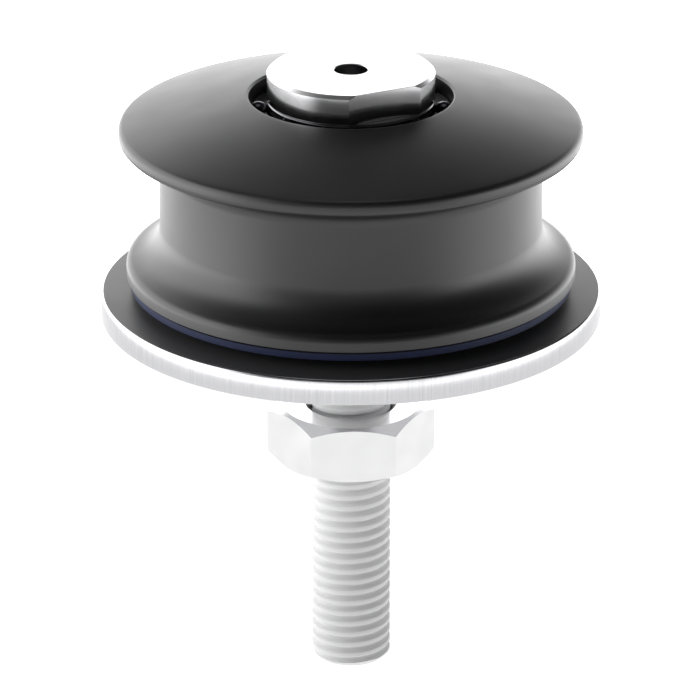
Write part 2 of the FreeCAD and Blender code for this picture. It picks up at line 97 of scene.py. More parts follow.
# The thread's form: where its crest ends and its root starts, as shares of a pitch from
# the crest's middle, and where in the run-out it has died away
CREST_END, ROOT_START, RUN_OUT_END = 0.17, 0.47, 0.3

# How finely the shown pieces are built, in steps, and from which angle an edge is sharp
TURNED_STEPS, ROLL_STEPS, PLATE_ROLL_STEPS, DOME_STEPS = 288, 9, 5, 22
THREAD_STEPS_A_TURN, THREAD_STEPS_A_PITCH = 96, 14
TURNED_SHARP, CUT_SHARP, THREAD_SHARP = 28.0, 20.0, 50.0

# Where the photograph was taken from: millimetres, and degrees above the floor
CAMERA_DISTANCE, CAMERA_RISE = 800.0, 21.9
CAMERA_TARGET = (-0.14, 0.0, -6.34)
CAMERA_LENS, SENSOR_WIDTH = 272.2, 36.0

# The studio's light on a level with the block: its mean, how much more comes from the
# left and from behind, and the share that the walls and the dark front give of it
MEAN_LIGHT, SIDE_LIGHT, DEPTH_LIGHT, MOST_LIGHT = 3.6, 0.80, 1.00, 3.7
WALL_SHARE, FRONT_SHARE, FRONT_FULL, FRONT_START = 0.74, 0.10, -0.8, -0.3

# The floor's own glow, which lights the block: its strength close to the block, which is a painted shadow
# of the block, how far that reaches, where it has become the studio's, and where the dark front is
# complete, in metres from the axis
SHADOWED_FLOOR_LIGHT, NEAR_FLOOR, FAR_FLOOR, FRONT_END = 1.05, 0.19, 0.235, 0.31
FLOOR_HALF, FLOOR_GAP = 3.0, 0.0002

# The dark ceiling: the heights of the way up where it starts and is complete, how much
# lower it hangs on the right, and its share of the light
CEILING_START, CEILING_FULL, CEILING_LEAN, CEILING_LIGHT = 0.335, 0.55, 0.26, 0.02

# The soft lamp's place and side in metres, and its power in watts
LAMP_PLACE, LAMP_SIZE, LAMP_POWER = (0.0, 0.1, 1.0), 0.5, 0.5


def new_piece(name, mesh, body, solid):
    """Adds a mesh that is already in the block's frame, to ride on a body in place of a solid."""
    piece = bpy.data.objects.new(name, mesh)
    bpy.context.scene.collection.objects.link(piece)
    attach(piece, body)
    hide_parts(solid)
    return piece


def finish_mesh(bm, name, sharp_angle):
    """Turns a bmesh into a smooth-shaded mesh whose real edges stay sharp."""
    bmesh.ops.recalc_face_normals(bm, faces=bm.faces)
    for face in bm.faces:
        face.smooth = True
    limit = math.radians(sharp_angle)
    for edge in bm.edges:
        if len(edge.link_faces) == 2:
            edge.smooth = edge.calc_face_angle(0.0) < limit
    mesh = bpy.data.meshes.new(name)
    bm.to_mesh(mesh)
    bm.free()
    return mesh


def arc(centre, start, stop, steps):
    """The points of an arc between two spokes, which are counted from its centre."""
    sweep = start.angle_signed(stop)
    points = []
    for step in range(steps + 1):
        turn = -sweep * step / steps
        c, s = math.cos(turn), math.sin(turn)
        points.append(centre + Vector((c * start.x - s * start.y, s * start.x + c * start.y)))
    return points


def rounded(corners, steps=ROLL_STEPS):
    """A closed section with each corner (radius, height, roll) rounded off by its roll."""
    points = []
    for number, (r, z, roll) in enumerate(corners):
        here = Vector((r, z))
        if not roll:
            points.append(here)
            continue
        before = (Vector(corners[number - 1][:2]) - here).normalized()
        after = (Vector(corners[(number + 1) % len(corners)][:2]) - here).normalized()
        half = before.angle(after) / 2
        centre = here + (before + after).normalized() * roll / math.sin(half)
        start = here + before * roll / math.tan(half) - centre
        stop = here + after * roll / math.tan(half) - centre
        points += arc(centre, start, stop, steps)
    return points


def turned_shell(section):
    """A closed section turned about Z, in metres; a point on the axis becomes a pole."""
    bm = bmesh.new()
    poles = {p.y: bm.verts.new((0, 0, p.y * MM)) for p in section if p.x == 0}
    rings = []
    for step in range(TURNED_STEPS):
        turn = TAU * step / TURNED_STEPS
        c, s = math.cos(turn), math.sin(turn)
        rings.append([poles[p.y] if p.x == 0 else bm.verts.new((p.x * c * MM, p.x * s * MM, p.y * MM))
                      for p in section])
    for step, this in enumerate(rings):
        following = rings[(step + 1) % TURNED_STEPS]
        for k in range(len(section)):
            after = (k + 1) % len(section)
            loop = tuple(dict.fromkeys((this[k], following[k], following[after], this[after])))
            if len(loop) > 2:
                bm.faces.new(loop)
    return bm


def flattened(bm, turns):
    """Cuts flats at the spanner distance on the sides that turns (degrees) name, closes
    the cuts and breaks their edges."""
    for turn in turns:
        outward = Vector((math.cos(math.radians(turn)), math.sin(math.radians(turn)), 0))
        whole = bm.verts[:] + bm.edges[:] + bm.faces[:]
        bmesh.ops.bisect_plane(bm, geom=whole, plane_co=outward * FLAT_DISTANCE * MM,
                               plane_no=outward, clear_outer=True)
        bmesh.ops.holes_fill(bm, edges=[e for e in bm.edges if e.is_boundary])
    bmesh.ops.recalc_face_normals(bm, faces=bm.faces)

    # Only a flat is upright and has more than four corners
    upright, break_above = 1e-4, math.radians(15)
    flats = [f for f in bm.faces if abs(f.normal.z) < upright and len(f.verts) > 4]
    cut = {e for f in flats for e in f.edges if e.calc_face_angle(0.0) > break_above}
    bmesh.ops.bevel(bm, geom=list(cut), offset=SMALL_BREAK * MM, segments=1, profile=0.5,
                    affect="EDGES", clamp_overlap=True)


def dome_points():
    """The points of the flange's domed top, from the rim inwards."""
    a, b = Vector((UPPER_RIM, UPPER_RIM_TOP)), Vector((RECESS_RADIUS, LIP))
    way = b - a
    half = way.length / 2
    left = Vector((-way.y, way.x)).normalized()
    centre = (a + b) / 2 + left * math.sqrt(DOME_RADIUS ** 2 - half ** 2)
    return arc(centre, a - centre, b - centre, DOME_STEPS)


def sheave_section():
    """The sheave's half section, foot first; the dome's first two points give way to the
    rim's roll."""
    dome = dome_points()
    corners = [
        (BUSH_OUTER, SHEAVE_FOOT, 0),
        (THRUST_INNER, SHEAVE_FOOT, 0),
        (THRUST_INNER, THRUST_ROOF, 0),
        (THRUST_OUTER, THRUST_ROOF, 0),
        (THRUST_OUTER, SHEAVE_FOOT, 0),
        (RING_SEAT_INNER, SHEAVE_FOOT, 0),
        (RING_SEAT_INNER, RING_SEAT_ROOF, 0),
        (LOWER_RIM - LOWER_BREAK, RING_SEAT_ROOF, 0),
        (LOWER_RIM, RING_SEAT_ROOF + LOWER_BREAK, 0),
        (LOWER_RIM, LOWER_RIM_TOP, LOWER_ROLL),
        (TREAD_RADIUS, LOWER_ROOT, LOWER_FILLET),
        (TREAD_RADIUS, UPPER_RIM_BASE - UNDERSIDE_DROP, UPPER_FILLET),
        (UPPER_RIM, UPPER_RIM_BASE, UPPER_ROLL),
        (UPPER_RIM, UPPER_RIM_TOP, UPPER_ROLL),
    ]
    corners += [(p.x, p.y, 0) for p in dome[2:-1]]
    corners += [
        (dome[-1].x, dome[-1].y, LIP_ROLL),
        (RECESS_RADIUS, RECESS_FLOOR, 0),
        (BUSH_OUTER, RECESS_FLOOR, 0),
    ]
    return rounded(corners)


def plate_section():
    """The base plate's half section."""
    return rounded([
        (PLATE_BORE, 0, 0),
        (PLATE_RADIUS, 0, PLATE_EDGE),
        (PLATE_RADIUS, PLATE_THICKNESS, PLATE_EDGE),
        (PLATE_BORE, PLATE_THICKNESS, 0),
    ], PLATE_ROLL_STEPS)


def head_mesh():
    """The spindle's head and shank: turned, with a drilled hole and two spanner flats."""
    bm = turned_shell(rounded([
        (0, HOLE_TIP, 0),
        (HOLE_RADIUS, HOLE_FLOOR, 0),
        (HOLE_RADIUS, HEAD_TOP - SMALL_BREAK, 0),
        (HOLE_RADIUS + SMALL_BREAK, HEAD_TOP, 0),
        (HEAD_RADIUS - HEAD_CHAMFER, HEAD_TOP, 0),
        (HEAD_RADIUS, HEAD_TOP - HEAD_CHAMFER, 0),
        (HEAD_RADIUS, HEAD_SEAT + SMALL_BREAK, 0),
        (HEAD_RADIUS - SMALL_BREAK, HEAD_SEAT, 0),
        (STUD_RADIUS, HEAD_SEAT, 0),
        (STUD_RADIUS, THREAD_TOP, 0),
        (0, THREAD_TOP, 0),
    ]))
    flattened(bm, (HEAD_TURN + 90, HEAD_TURN - 90))
    return finish_mesh(bm, "spindle_head", CUT_SHARP)


def nut_mesh():
    """The hexagon nut: a chamfered blank with a countersunk bore and six flats."""
    drop = (NUT_CORNER - NUT_FACE) * math.tan(math.radians(NUT_SLOPE))
    bm = turned_shell(rounded([
        (NUT_BORE, NUT_BASE + NUT_COUNTERSINK, 0),
        (NUT_BORE + NUT_COUNTERSINK, NUT_BASE, 0),
        (NUT_FACE, NUT_BASE, 0),
        (NUT_CORNER, NUT_BASE + drop, 0),
        (NUT_CORNER, NUT_TOP - drop, 0),
        (NUT_FACE, NUT_TOP, 0),
        (NUT_BORE + NUT_COUNTERSINK, NUT_TOP, 0),
        (NUT_BORE, NUT_TOP - NUT_COUNTERSINK, 0),
    ]))
    flattened(bm, [NUT_TURN + 30 + 60 * side for side in range(6)])
    return finish_mesh(bm, "hex_nut_bright", CUT_SHARP)


# Short ways to build node trees
def link_all(tree, pairs):
    """Joins output sockets to input sockets."""
    for out, into in pairs:
        tree.links.new(out, into)


def math_node(tree, operation, a, b=None):
    """A Math node on sockets or numbers; gives its output."""
    node = tree.nodes.new("ShaderNodeMath")
    node.operation = operation
    for index, value in enumerate((a, b)):
        if value is None:
            continue
        if isinstance(value, (int, float)):
            node.inputs[index].default_value = value
        else:
            tree.links.new(value, node.inputs[index])
    return node.outputs[0]


# The screw thread, made by Geometry Nodes
def thread_tree(steel):
    """Wraps a flat grid round Z as one long helical strip: a screw thread with chamfered
    end, a run-out at the top, and both ends closed."""
    tree = bpy.data.node_groups.new("screw_thread", "GeometryNodeTree")
    sockets = tree.interface
    sockets.new_socket("Geometry", in_out="INPUT", socket_type="NodeSocketGeometry")
    for name in ("Crest Radius", "Depth", "Pitch", "Bottom", "Top", "Chamfer", "Run-out"):
        sockets.new_socket(name, in_out="INPUT", socket_type="NodeSocketFloat")
    for name in ("Turns", "Steps a Turn", "Steps a Pitch"):
        sockets.new_socket(name, in_out="INPUT", socket_type="NodeSocketInt")
    sockets.new_socket("Geometry", in_out="OUTPUT", socket_type="NodeSocketGeometry")
    size = tree.nodes.new("NodeGroupInput").outputs
    around = math_node(tree, "MULTIPLY", size["Turns"], size["Steps a Turn"])
    grid = tree.nodes.new("GeometryNodeMeshGrid")
    grid.inputs["Size X"].default_value = 1.0
    grid.inputs["Size Y"].default_value = 1.0
    link_all(tree, [
        (math_node(tree, "ADD", around, 1), grid.inputs["Vertices X"]),
        (math_node(tree, "ADD", size["Steps a Pitch"], 1), grid.inputs["Vertices Y"]),
    ])

    # The grid's length runs round the stud and its width along one pitch
    place = tree.nodes.new("GeometryNodeInputPosition")
    parts = tree.nodes.new("ShaderNodeSeparateXYZ")
    tree.links.new(place.outputs[0], parts.inputs[0])
    turn = math_node(tree, "MULTIPLY", math_node(tree, "ADD", parts.outputs["X"], 0.5), size["Turns"])
    share = math_node(tree, "ADD", parts.outputs["Y"], 0.5)
    level = math_node(tree, "MULTIPLY", math_node(tree, "ADD", turn, share), size["Pitch"])
    pitches_below = 1.5
    lead_in = math_node(tree, "MULTIPLY", size["Pitch"], pitches_below)
    start = math_node(tree, "SUBTRACT", size["Bottom"], lead_in)
    height = math_node(tree, "ADD", start, level)

    # Crest, flank and root: a clipped triangle wave across one pitch
    wave = math_node(tree, "PINGPONG", share, 0.5)
    slope = tree.nodes.new("ShaderNodeMapRange")
    slope.interpolation_type = "SMOOTHSTEP"
    slope.inputs["From Min"].default_value = CREST_END
    slope.inputs["From Max"].default_value = ROOT_START
    tree.links.new(wave, slope.inputs["Value"])
    sunk = math_node(tree, "MULTIPLY", slope.outputs["Result"], size["Depth"])
    fade = tree.nodes.new("ShaderNodeMapRange")
    fade.inputs["To Min"].default_value = 1.0
    fade.inputs["To Max"].default_value = 0.0
    faded = math_node(tree, "MULTIPLY", size["Run-out"], RUN_OUT_END)
    link_all(tree, [
        (height, fade.inputs["Value"]),
        (math_node(tree, "SUBTRACT", size["Top"], size["Run-out"]), fade.inputs["From Min"]),
        (math_node(tree, "SUBTRACT", size["Top"], faded), fade.inputs["From Max"]),
    ])
    cut = math_node(tree, "MULTIPLY", sunk, fade.outputs["Result"])
    threaded = math_node(tree, "SUBTRACT", size["Crest Radius"], cut)
    nose = math_node(tree, "SUBTRACT", size["Crest Radius"], size["Chamfer"])
    cone = math_node(tree, "ADD", nose, math_node(tree, "SUBTRACT", height, size["Bottom"]))
    radius = math_node(tree, "MINIMUM", threaded, math_node(tree, "MAXIMUM", cone, nose))

    # Past either end every point drops to the closing ring of its own step
    under = math_node(tree, "LESS_THAN", height, size["Bottom"])
    over = math_node(tree, "GREATER_THAN", height, size["Top"])
    inside_root = 0.00002
    root = math_node(tree, "SUBTRACT", size["Crest Radius"], size["Depth"])
    core = math_node(tree, "SUBTRACT", root, inside_root)
    outside = math_node(tree, "MAXIMUM", under, over)
    keep = math_node(tree, "SUBTRACT", 1.0, outside)
    reach = math_node(tree, "ADD", math_node(tree, "MULTIPLY", radius, keep),
                      math_node(tree, "MULTIPLY", core, outside))
    held = math_node(tree, "MINIMUM", math_node(tree, "MAXIMUM", height, size["Bottom"]), size["Top"])
    angle = math_node(tree, "MULTIPLY", turn, TAU)
    spot = tree.nodes.new("ShaderNodeCombineXYZ")
    link_all(tree, [
        (math_node(tree, "MULTIPLY", reach, math_node(tree, "COSINE", angle)), spot.inputs["X"]),
        (math_node(tree, "MULTIPLY", reach, math_node(tree, "SINE", angle)), spot.inputs["Y"]),
        (held, spot.inputs["Z"]),
    ])
    moved = tree.nodes.new("GeometryNodeSetPosition")
    same_place, same_seam = 2e-6, 3e-6
    merged = tree.nodes.new("GeometryNodeMergeByDistance")
    merged.inputs["Distance"].default_value = same_place
    link_all(tree, [
        (grid.outputs["Mesh"], moved.inputs["Geometry"]),
        (spot.outputs[0], moved.inputs["Position"]),
        (moved.outputs[0], merged.inputs["Geometry"]),
    ])

    # A disc closes each end
    whole = tree.nodes.new("GeometryNodeJoinGeometry")
    tree.links.new(merged.outputs[0], whole.inputs[0])
    for level_socket in (size["Bottom"], size["Top"]):
        disc = tree.nodes.new("GeometryNodeMeshCircle")
        disc.fill_type = "NGON"
        lift = tree.nodes.new("ShaderNodeCombineXYZ")
        put = tree.nodes.new("GeometryNodeTransform")
        link_all(tree, [
            (size["Steps a Turn"], disc.inputs["Vertices"]),
            (core, disc.inputs["Radius"]),
            (level_socket, lift.inputs["Z"]),
            (disc.outputs[0], put.inputs["Geometry"]),
            (lift.outputs[0], put.inputs["Translation"]),
            (put.outputs[0], whole.inputs[0]),
        ])
    sealed = tree.nodes.new("GeometryNodeMergeByDistance")
    sealed.inputs["Distance"].default_value = same_seam
    real = tree.nodes.new("GeometryNodeRealizeInstances")
    painted = tree.nodes.new("GeometryNodeSetMaterial")
    painted.inputs["Material"].default_value = steel
    result = tree.nodes.new("NodeGroupOutput")
    link_all(tree, [
        (whole.outputs[0], sealed.inputs["Geometry"]),
        (sealed.outputs[0], real.inputs[0]),
        (real.outputs[0], painted.inputs["Geometry"]),
        (painted.outputs[0], result.inputs[0]),
    ])
    return tree


def grown(name, tree, values):
    """Runs a Geometry Nodes tree with its named inputs and gives the plain mesh."""
    seed = bpy.data.objects.new(f"{name}_seed", bpy.data.meshes.new(f"{name}_seed"))
    bpy.context.scene.collection.objects.link(seed)
    modifier = seed.modifiers.new("build", "NODES")
    modifier.node_group = tree
    for socket in tree.interface.items_tree:
        if socket.in_out == "INPUT" and socket.name in values:
            modifier[socket.identifier] = values[socket.name]
    graph = bpy.context.evaluated_depsgraph_get()
    mesh = bpy.data.meshes.new_from_object(seed.evaluated_get(graph))
    seed.modifiers.remove(modifier)
    bpy.data.objects.remove(seed)
    bm = bmesh.new()
    bm.from_mesh(mesh)
    steel = mesh.materials[0]
    made = finish_mesh(bm, name, THREAD_SHARP)
    made.materials.append(steel)
    return made


# Materials
class Shader:
    """A material with a Principled shader and short ways to add nodes to it."""

    def __init__(self, name, colour, metallic, roughness, ior=1.5):
        self.material = bpy.data.materials.new(name)
        self.material.use_nodes = True
        self.tree = self.material.node_tree
        self.shader = self.tree.nodes["Principled BSDF"]
        self.shader.inputs["Base Color"].default_value = (*colour, 1)
        self.shader.inputs["Metallic"].default_value = metallic
        self.shader.inputs["Roughness"].default_value = roughness
        self.shader.inputs["IOR"].default_value = ior

    def group(self, tree, **values):
        """Places an effect with its own values."""
        node = self.tree.nodes.new("ShaderNodeGroup")
        node.node_tree = tree
        for name, value in values.items():
            node.inputs[name.replace("_", " ")].default_value = value
        return node

    def drive(self, socket, source, low, high):
        """Runs one shader input from low to high as a mask goes from 0 to 1."""
        span = self.tree.nodes.new("ShaderNodeMapRange")
        span.inputs["To Min"].default_value = low
        span.inputs["To Max"].default_value = high
        self.tree.links.new(source, span.inputs["Value"])
        self.tree.links.new(span.outputs[0], self.shader.inputs[socket])

    def tint(self, source, low, high):
        """Mixes two base colours by a mask."""
        mix = self.tree.nodes.new("ShaderNodeMix")
        mix.data_type = "RGBA"
        colours = [s for s in mix.inputs if s.type == "RGBA"]
        colours[0].default_value = (*low, 1)
        colours[1].default_value = (*high, 1)
        self.tree.links.new(source, mix.inputs["Factor"])
        result = [s for s in mix.outputs if s.type == "RGBA"][0]
        self.tree.links.new(result, self.shader.inputs["Base Color"])

    def bump(self, height, distance, strength):
        """Adds a bump from a height, distance in millimetres."""
        node = self.tree.nodes.new("ShaderNodeBump")
        node.inputs["Strength"].default_value = strength
        node.inputs["Distance"].default_value = distance * MM
        self.tree.links.new(height, node.inputs["Height"])
        self.tree.links.new(node.outputs[0], self.shader.inputs["Normal"])


def effect(name, inputs, outputs):
    """An empty shader group with named number sockets."""
    tree = bpy.data.node_groups.new(name, "ShaderNodeTree")
    for label, value in inputs:
        socket = tree.interface.new_socket(label, in_out="INPUT", socket_type="NodeSocketFloat")
        socket.default_value = value
    for label in outputs:
        tree.interface.new_socket(label, in_out="OUTPUT", socket_type="NodeSocketFloat")
    return tree, tree.nodes.new("NodeGroupInput").outputs, tree.nodes.new("NodeGroupOutput").inputs


def noise(tree, vector, scale, detail, roughness=0.5):
    """A Noise texture; gives its value."""
    node = tree.nodes.new("ShaderNodeTexNoise")
    node.inputs["Detail"].default_value = detail
    node.inputs["Roughness"].default_value = roughness
    tree.links.new(vector, node.inputs["Vector"])
    if isinstance(scale, (int, float)):
        node.inputs["Scale"].default_value = scale
    else:
        tree.links.new(scale, node.inputs["Scale"])
    return node.outputs[0]


def scaled(tree, vector, x, y, z):
    """A vector with each axis multiplied."""
    node = tree.nodes.new("ShaderNodeVectorMath")
    node.operation = "MULTIPLY"
    node.inputs[1].default_value = (x, y, z)
    tree.links.new(vector, node.inputs[0])
    return node.outputs[0]


def from_axis(tree, place):
    """How far a place lies from the block's axis, in millimetres."""
    node = tree.nodes.new("ShaderNodeVectorMath")
    node.operation = "LENGTH"
    tree.links.new(scaled(tree, place, TO_MM, TO_MM, 0), node.inputs[0])
    return node.outputs["Value"]


def turning_marks():
    """Fine rings left by the lathe: they depend only on height and distance from the axis."""
    tree, given, out = effect(
        "turning_marks", [("Lines per mm", 4.0), ("Unevenness", 0.5)], ["Height", "Mask"])
    place = tree.nodes.new("ShaderNodeTexCoord").outputs["Object"]
    parts = tree.nodes.new("ShaderNodeSeparateXYZ")
    tree.links.new(place, parts.inputs[0])
    section = tree.nodes.new("ShaderNodeCombineXYZ")
    tree.links.new(from_axis(tree, place), section.inputs["X"])
    tree.links.new(math_node(tree, "MULTIPLY", parts.outputs["Z"], TO_MM), section.inputs["Y"])
    broad_per_mm = 0.35
    fine = noise(tree, section.outputs[0], given["Lines per mm"], 3.0, 0.7)
    broad = noise(tree, section.outputs[0], broad_per_mm, 2.0)
    mixed = math_node(tree, "ADD", fine, math_node(tree, "MULTIPLY", broad, given["Unevenness"]))
    tree.links.new(mixed, out["Height"])
    tree.links.new(broad, out["Mask"])
    return tree


def fine_grain():
    """An even, very fine grain and a cloudy mask for slight differences in finish."""
    tree, given, out = effect(
        "fine_grain", [("Grain per mm", 12.0), ("Cloud per mm", 0.12)], ["Height", "Mask"])
    place = tree.nodes.new("ShaderNodeTexCoord").outputs["Object"]
    size = scaled(tree, place, TO_MM, TO_MM, TO_MM)
    tree.links.new(noise(tree, size, given["Grain per mm"], 2.0), out["Height"])
    tree.links.new(noise(tree, size, given["Cloud per mm"], 3.0), out["Mask"])
    return tree


def upright_streaks():
    """Fine streaks that run along the axis, as on a ground or drawn side face."""
    tree, given, out = effect("upright_streaks", [("Streaks per mm", 5.0)], ["Height", "Mask"])
    place = tree.nodes.new("ShaderNodeTexCoord").outputs["Object"]
    along_axis, bands_per_mm = 18, 0.9
    stretched = scaled(tree, place, TO_MM, TO_MM, along_axis)
    tree.links.new(noise(tree, stretched, given["Streaks per mm"], 4.0, 0.65), out["Height"])
    tree.links.new(noise(tree, stretched, bands_per_mm, 2.0), out["Mask"])
    return tree


def thread_root_shade():
    """A mask that rises from the thread's crests to its roots, for painted shade in the roots."""
    tree, given, out = effect("thread_root_shade", [("Crest mm", 6.0), ("Root mm", 5.05)], ["Mask"])
    place = tree.nodes.new("ShaderNodeTexCoord").outputs["Object"]
    span = tree.nodes.new("ShaderNodeMapRange")
    span.interpolation_type = "SMOOTHSTEP"
    link_all(tree, [
        (from_axis(tree, place), span.inputs["Value"]),
        (given["Crest mm"], span.inputs["From Min"]),
        (given["Root mm"], span.inputs["From Max"]),
        (span.outputs[0], out["Mask"]),
    ])
    return tree


def make_materials():
    """One material for each finish of the block, and dark ones that are painted shade."""
    marks, grain, streaks, root_shade = turning_marks(), fine_grain(), upright_streaks(), thread_root_shade()
    made = {}

    black = Shader("satin_black_anodising", (0.006, 0.006, 0.007), 0.0, 0.40, 1.66)
    lines = black.group(marks, Lines_per_mm=5.0, Unevenness=0.4)
    cloud = black.group(grain, Grain_per_mm=14.0, Cloud_per_mm=0.15)
    black.drive("Roughness", cloud.outputs["Mask"], 0.36, 0.44)
    black.tint(cloud.outputs["Height"], (0.005, 0.005, 0.0055), (0.009, 0.009, 0.0098))
    black.bump(lines.outputs["Height"], 0.0012, 0.5)
    made["black"] = black.material

    top = Shader("satin_black_plate_top", (0.05, 0.05, 0.052), 0.0, 0.42, 1.66)
    lines = top.group(marks, Lines_per_mm=4.0, Unevenness=0.5)
    cloud = top.group(grain, Grain_per_mm=12.0, Cloud_per_mm=0.12)
    top.drive("Roughness", cloud.outputs["Mask"], 0.38, 0.46)
    top.tint(cloud.outputs["Height"], (0.042, 0.042, 0.044), (0.060, 0.060, 0.062))
    top.bump(lines.outputs["Height"], 0.0012, 0.5)
    made["plate_top"] = top.material

    plate = Shader("bright_turned_plate", (0.72, 0.72, 0.74), 1.0, 0.12)
    line = plate.group(streaks, Streaks_per_mm=4.0)
    plate.drive("Roughness", line.outputs["Mask"], 0.10, 0.20)
    plate.tint(line.outputs["Height"], (0.50, 0.50, 0.52), (0.70, 0.70, 0.72))
    plate.bump(line.outputs["Height"], 0.0016, 0.5)
    made["plate"] = plate.material

    steel = Shader("satin_stainless_head", (0.84, 0.84, 0.85), 1.0, 0.33)
    cloud = steel.group(grain, Grain_per_mm=10.0, Cloud_per_mm=0.3)
    lines = steel.group(marks, Lines_per_mm=3.0, Unevenness=0.3)
    steel.drive("Roughness", cloud.outputs["Mask"], 0.28, 0.38)
    steel.tint(cloud.outputs["Mask"], (0.78, 0.78, 0.80), (0.88, 0.88, 0.88))
    steel.bump(lines.outputs["Height"], 0.0015, 0.4)
    made["head"] = steel.material

    flat = Shader("polished_head_side", (0.78, 0.78, 0.79), 1.0, 0.12)
    line = flat.group(streaks, Streaks_per_mm=3.0)
    cloud = flat.group(grain, Grain_per_mm=10.0, Cloud_per_mm=0.3)
    flat.drive("Roughness", cloud.outputs["Mask"], 0.09, 0.18)
    flat.tint(line.outputs["Height"], (0.70, 0.70, 0.71), (0.84, 0.84, 0.85))
    flat.bump(line.outputs["Height"], 0.0010, 0.4)
    made["head_side"] = flat.material

    nut = Shader("bright_stainless_nut", (0.80, 0.80, 0.81), 1.0, 0.2)
    cloud = nut.group(grain, Grain_per_mm=9.0, Cloud_per_mm=0.25)
    nut.drive("Roughness", cloud.outputs["Mask"], 0.16, 0.30)
    nut.tint(cloud.outputs["Mask"], (0.74, 0.74, 0.75), (0.86, 0.86, 0.86))
    nut.bump(cloud.outputs["Height"], 0.0014, 0.3)
    made["nut"] = nut.material

    # Painted shade: the nut's bore and countersinks get a dark steel that stands for the shade inside the
    # hole.
    bore = Shader("nut_bore_painted_shade", (0.16, 0.16, 0.165), 1.0, 0.4)
    cloud = bore.group(grain, Grain_per_mm=6.0, Cloud_per_mm=0.5)
    bore.drive("Roughness", cloud.outputs["Mask"], 0.34, 0.50)
    bore.tint(cloud.outputs["Mask"], (0.12, 0.12, 0.125), (0.20, 0.20, 0.205))
    bore.bump(cloud.outputs["Height"], 0.002, 0.4)
    made["bore"] = bore.material

    thread = Shader("rolled_thread_steel", (0.74, 0.74, 0.75), 1.0, 0.30)
    inset = 0.1
    depth = thread.group(root_shade, Crest_mm=STUD_RADIUS - inset, Root_mm=STUD_RADIUS - THREAD_DEPTH + inset)
    cloud = thread.group(grain, Grain_per_mm=8.0, Cloud_per_mm=0.4)
    thread.drive("Roughness", cloud.outputs["Mask"], 0.24, 0.36)
    # Painted shade: the thread's roots are tinted darker than its crests.
    thread.tint(depth.outputs["Mask"], (0.68, 0.68, 0.69), (0.36, 0.36, 0.37))
    thread.bump(cloud.outputs["Height"], 0.0016, 0.3)
    made["thread"] = thread.material

    # Painted shade: the bearing steel is made dark to stand for the shade inside the sheave's recess.
    ground = Shader("bearing_steel_painted_shade", (0.20, 0.20, 0.21), 1.0, 0.2)
    lines = ground.group(marks, Lines_per_mm=6.0, Unevenness=0.3)
    ground.drive("Roughness", lines.outputs["Mask"], 0.16, 0.30)
    ground.bump(lines.outputs["Height"], 0.0012, 0.4)
    made["ground"] = ground.material

    blue = Shader("blue_ring_plastic", (0.010, 0.017, 0.060), 0.0, 0.50, 1.32)
    cloud = blue.group(grain, Grain_per_mm=8.0, Cloud_per_mm=0.3)
    blue.drive("Roughness", cloud.outputs["Mask"], 0.42, 0.56)
    blue.tint(cloud.outputs["Mask"], (0.008, 0.014, 0.050), (0.013, 0.021, 0.072))
    blue.bump(cloud.outputs["Height"], 0.002, 0.3)
    made["blue"] = blue.material

    liner = Shader("bearing_liner", (0.10, 0.09, 0.08), 0.0, 0.55)
    cloud = liner.group(grain, Grain_per_mm=6.0, Cloud_per_mm=0.3)
    liner.tint(cloud.outputs["Height"], (0.07, 0.065, 0.06), (0.13, 0.12, 0.10))
    liner.bump(cloud.outputs["Height"], 0.003, 0.4)
    made["liner"] = liner.material

    cage = Shader("black_cage_plastic", (0.012, 0.012, 0.013), 0.0, 0.45)
    cloud = cage.group(grain, Grain_per_mm=7.0, Cloud_per_mm=0.3)
    cage.drive("Roughness", cloud.outputs["Mask"], 0.38, 0.55)
    cage.bump(cloud.outputs["Height"], 0.003, 0.4)
    made["cage"] = cage.material

    ball = Shader("dark_bearing_ball", (0.07, 0.07, 0.08), 1.0, 0.12)
    cloud = ball.group(grain, Grain_per_mm=6.0, Cloud_per_mm=0.6)
    ball.drive("Roughness", cloud.outputs["Mask"], 0.08, 0.2)
    ball.bump(cloud.outputs["Height"], 0.001, 0.2)
    made["ball"] = ball.material
    return made


def paint(piece, material, second=None, takes_second=None):
    """Gives a piece one material, and a second one on the faces that a test picks."""
    piece.data.materials.clear()
    piece.data.materials.append(material)
    if second:
        piece.data.materials.append(second)
        for face in piece.data.polygons:
            face.material_index = 1 if takes_second(face) else 0


def make_pieces(finish):
    """The block's shown pieces, each in place of the solid it dresses."""
    turned = finish_mesh(turned_shell(sheave_section()), "sheave_turned", TURNED_SHARP)
    sheave = new_piece("sheave_turned", turned, "sheave", "sheave")
    paint(sheave, finish["black"])

    disc = finish_mesh(turned_shell(plate_section()), "base_plate_turned", TURNED_SHARP)
    plate = new_piece("base_plate_turned", disc, "deck_side", "base_plate")
    level = 0.95
    paint(plate, finish["plate"], finish["plate_top"], lambda face: face.normal.z > level)

    head = new_piece("spindle_head", head_mesh(), "deck_side", "spindle")
    steep = 0.5
    paint(head, finish["head"], finish["head_side"], lambda face: face.normal.z < steep)
    spare_turns = 4
    thread = grown("stud_thread", thread_tree(finish["thread"]), {
        "Crest Radius": STUD_RADIUS * MM,
        "Depth": THREAD_DEPTH * MM,
        "Pitch": THREAD_PITCH * MM,
        "Bottom": STUD_END * MM,
        "Top": THREAD_TOP * MM,
        "Chamfer": STUD_CHAMFER * MM,
        "Run-out": THREAD_RUN_OUT * MM,
        "Turns": int((THREAD_TOP - STUD_END) / THREAD_PITCH) + spare_turns,
        "Steps a Turn": THREAD_STEPS_A_TURN,
        "Steps a Pitch": THREAD_STEPS_A_PITCH,
    })
    new_piece("stud_thread", thread, "deck_side", "spindle")

    nut = new_piece("hex_nut_bright", nut_mesh(), "nut", "hex_nut")
    # The faces inside the countersink's mouth take the dark steel of painted shade.
    inside_edge = 0.01
    mouth = (NUT_BORE + NUT_COUNTERSINK - inside_edge) * MM
    paint(nut, finish["nut"], finish["bore"], lambda face: face.center.to_2d().length < mouth)


